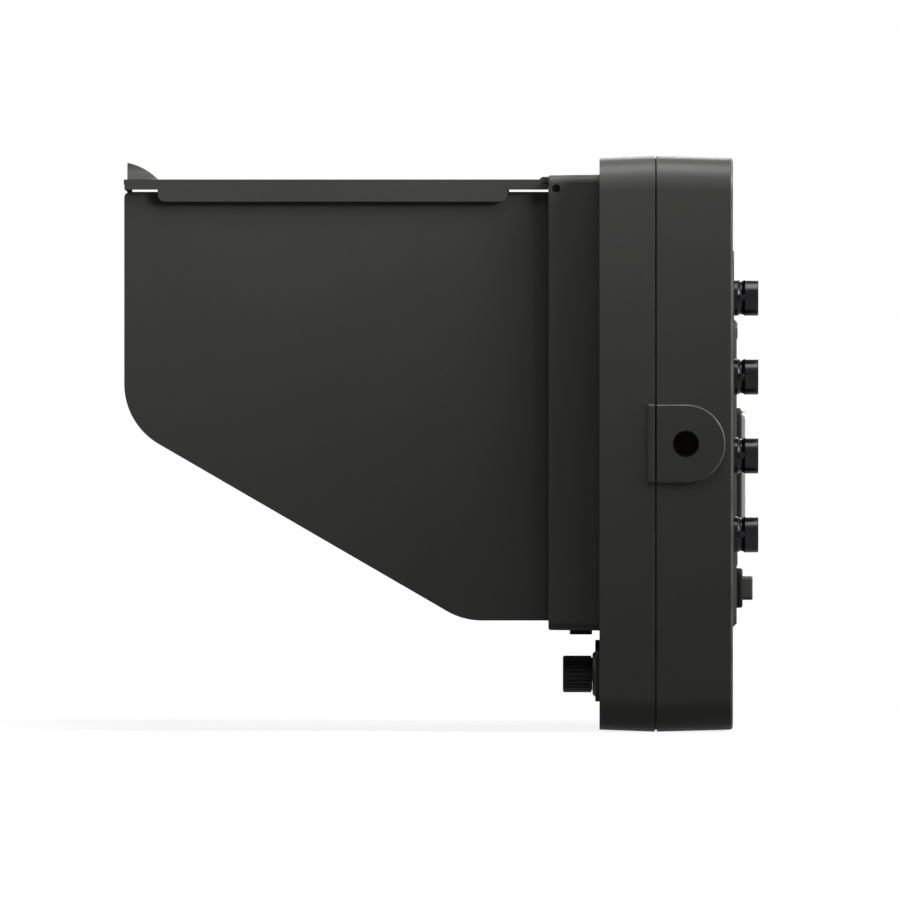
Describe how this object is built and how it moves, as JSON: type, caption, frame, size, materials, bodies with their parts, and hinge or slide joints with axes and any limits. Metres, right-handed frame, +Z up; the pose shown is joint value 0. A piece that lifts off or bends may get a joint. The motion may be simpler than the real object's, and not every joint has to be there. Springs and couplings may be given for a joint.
{
  "type": "camera field monitor with sun hood",
  "caption": "Flat field monitor for a camera with a folding three-sided sun hood, ribbed menu knob, push keys, rear jacks and battery plate.",
  "frame": {"origin": "on the surface the monitor stands on, under the middle of its overall box", "axes": "+Z up, +X across the screen towards the menu knob, -Y the way the screen and hood face, +Y towards the jacks"},
  "size_m": [0.2332, 0.1696, 0.1531],
  "materials": {
    "shell_plastic": "fine matt moulding grain",
    "rear_shell_finish": "fine matt black coating",
    "gasket_rubber": "matt",
    "cover_glass": "anti-reflection coated",
    "display_layers": "dark, switched off",
    "diffuser_plastic": "satin",
    "bracket_metal": "plain sheet",
    "board_green": "solder mask",
    "component_black": "moulded",
    "key_rubber": "soft matt",
    "lens_plastic": "clear moulded",
    "strip_plastic": "matt",
    "knob_plastic": "satin, ribbed",
    "encoder_metal": "plain",
    "back_panel_finish": "matt black coating",
    "screw_steel": "blackened",
    "jack_metal": "dark plated, glossy",
    "insulator_white": "moulded",
    "contact_gold": "gold plated",
    "socket_steel": "plated",
    "bezel_plastic": "satin",
    "power_cap_plastic": "satin",
    "battery_plastic": "matt",
    "lock_plate_metal": "pale satin",
    "release_plastic": "satin",
    "insert_brass": "machined",
    "frame_plastic": "fine matt moulding grain",
    "latch_plastic": "matt",
    "flap_plastic": "fine matt moulding grain",
    "pin_dark": "blackened",
    "side_panel_plastic": "fine matt moulding grain"
  },
  "bodies": {
    "housing": {"front_shell": "shell_plastic", "rear_shell": "rear_shell_finish", "seam_gasket": "gasket_rubber", "screen_glass": "cover_glass", "display_panel": "display_layers", "backlight": "diffuser_plastic", "panel_bracket": "bracket_metal", "heat_sink": "bracket_metal", "main_board": "board_green", "io_board": "board_green", "jack_board": "board_green", "input_board": "board_green", "processor": "component_black", "key_switches": "component_black", "power_switch": "component_black", "speaker": "component_black", "earphone_socket": "component_black", "status_lens": "lens_plastic", "control_strip": "strip_plastic", "knob_collar": "knob_plastic", "encoder_body": "encoder_metal", "rear_panel": "back_panel_finish", "rear_panel_screws": "screw_steel", "shell_screws": "screw_steel", "board_screws": "screw_steel", "panel_pins": "screw_steel", "jack_bodies": "jack_metal", "power_inlet": "jack_metal", "jack_insulators": "insulator_white", "jack_contacts": "contact_gold", "battery_contacts": "contact_gold", "video_sockets": "socket_steel", "service_socket": "socket_steel", "power_bezel": "bezel_plastic", "battery_plate": "battery_plastic", "battery_lock_plate": "lock_plate_metal", "side_inserts": "insert_brass", "tripod_insert": "insert_brass", "hood_frame": "frame_plastic", "flap_pins": "pin_dark"},
    "key_one": {"key_1": "key_rubber"},
    "key_two": {"key_2": "key_rubber"},
    "key_three": {"key_3": "key_rubber"},
    "key_four": {"key_4": "key_rubber"},
    "key_five": {"key_5": "key_rubber"},
    "menu_knob": {"control_knob": "knob_plastic", "encoder_shaft": "encoder_metal"},
    "power_cap": {"power_button": "power_cap_plastic"},
    "release_slider": {"battery_release": "release_plastic"},
    "latch": {"hood_latch": "latch_plastic", "latch_plate": "screw_steel"},
    "hood_flap": {"top_flap": "flap_plastic"},
    "right_panel": {"side_panel_right": "side_panel_plastic"},
    "left_panel": {"side_panel_left": "side_panel_plastic"}
  },
  "joints": [
    {"name": "key_one_press", "type": "slide", "parent": "housing", "child": "key_one", "axis": [0, 1, 0], "range_m": [0, 0.0005], "stiffness_N_per_m": 400},
    {"name": "key_two_press", "type": "slide", "parent": "housing", "child": "key_two", "axis": [0, 1, 0], "range_m": [0, 0.0005], "stiffness_N_per_m": 400},
    {"name": "key_three_press", "type": "slide", "parent": "housing", "child": "key_three", "axis": [0, 1, 0], "range_m": [0, 0.0005], "stiffness_N_per_m": 400},
    {"name": "key_four_press", "type": "slide", "parent": "housing", "child": "key_four", "axis": [0, 1, 0], "range_m": [0, 0.0005], "stiffness_N_per_m": 400},
    {"name": "key_five_press", "type": "slide", "parent": "housing", "child": "key_five", "axis": [0, 1, 0], "range_m": [0, 0.0005], "stiffness_N_per_m": 400},
    {"name": "knob_turn", "type": "hinge", "parent": "housing", "child": "menu_knob", "pos_m": [0.084, 0.03755, 0.0151], "axis": [0, 1, 0], "continuous": true},
    {"name": "power_press", "type": "slide", "parent": "housing", "child": "power_cap", "axis": [0, -1, 0], "range_m": [0, 0.0012], "stiffness_N_per_m": 400},
    {"name": "release_slide", "type": "slide", "parent": "housing", "child": "release_slider", "axis": [-1, 0, 0], "range_m": [0, 0.0015], "stiffness_N_per_m": 300},
    {"name": "latch_slide", "type": "slide", "parent": "housing", "child": "latch", "axis": [1, 0, 0], "range_m": [0, 0.004], "stiffness_N_per_m": 150},
    {"name": "flap_lift", "type": "hinge", "parent": "housing", "child": "hood_flap", "pos_m": [0, 0.03107, 0.1445], "axis": [-1, 0, 0], "range_deg": [0, 90]},
    {"name": "right_panel_fold", "type": "hinge", "parent": "housing", "child": "right_panel", "pos_m": [0.0999, 0.03694, 0.0865], "axis": [0, 0, -1], "range_deg": [0, 90]},
    {"name": "left_panel_fold", "type": "hinge", "parent": "housing", "child": "left_panel", "pos_m": [-0.0999, 0.03945, 0.0865], "axis": [0, 0, 1], "range_deg": [0, 90]}
  ]
}
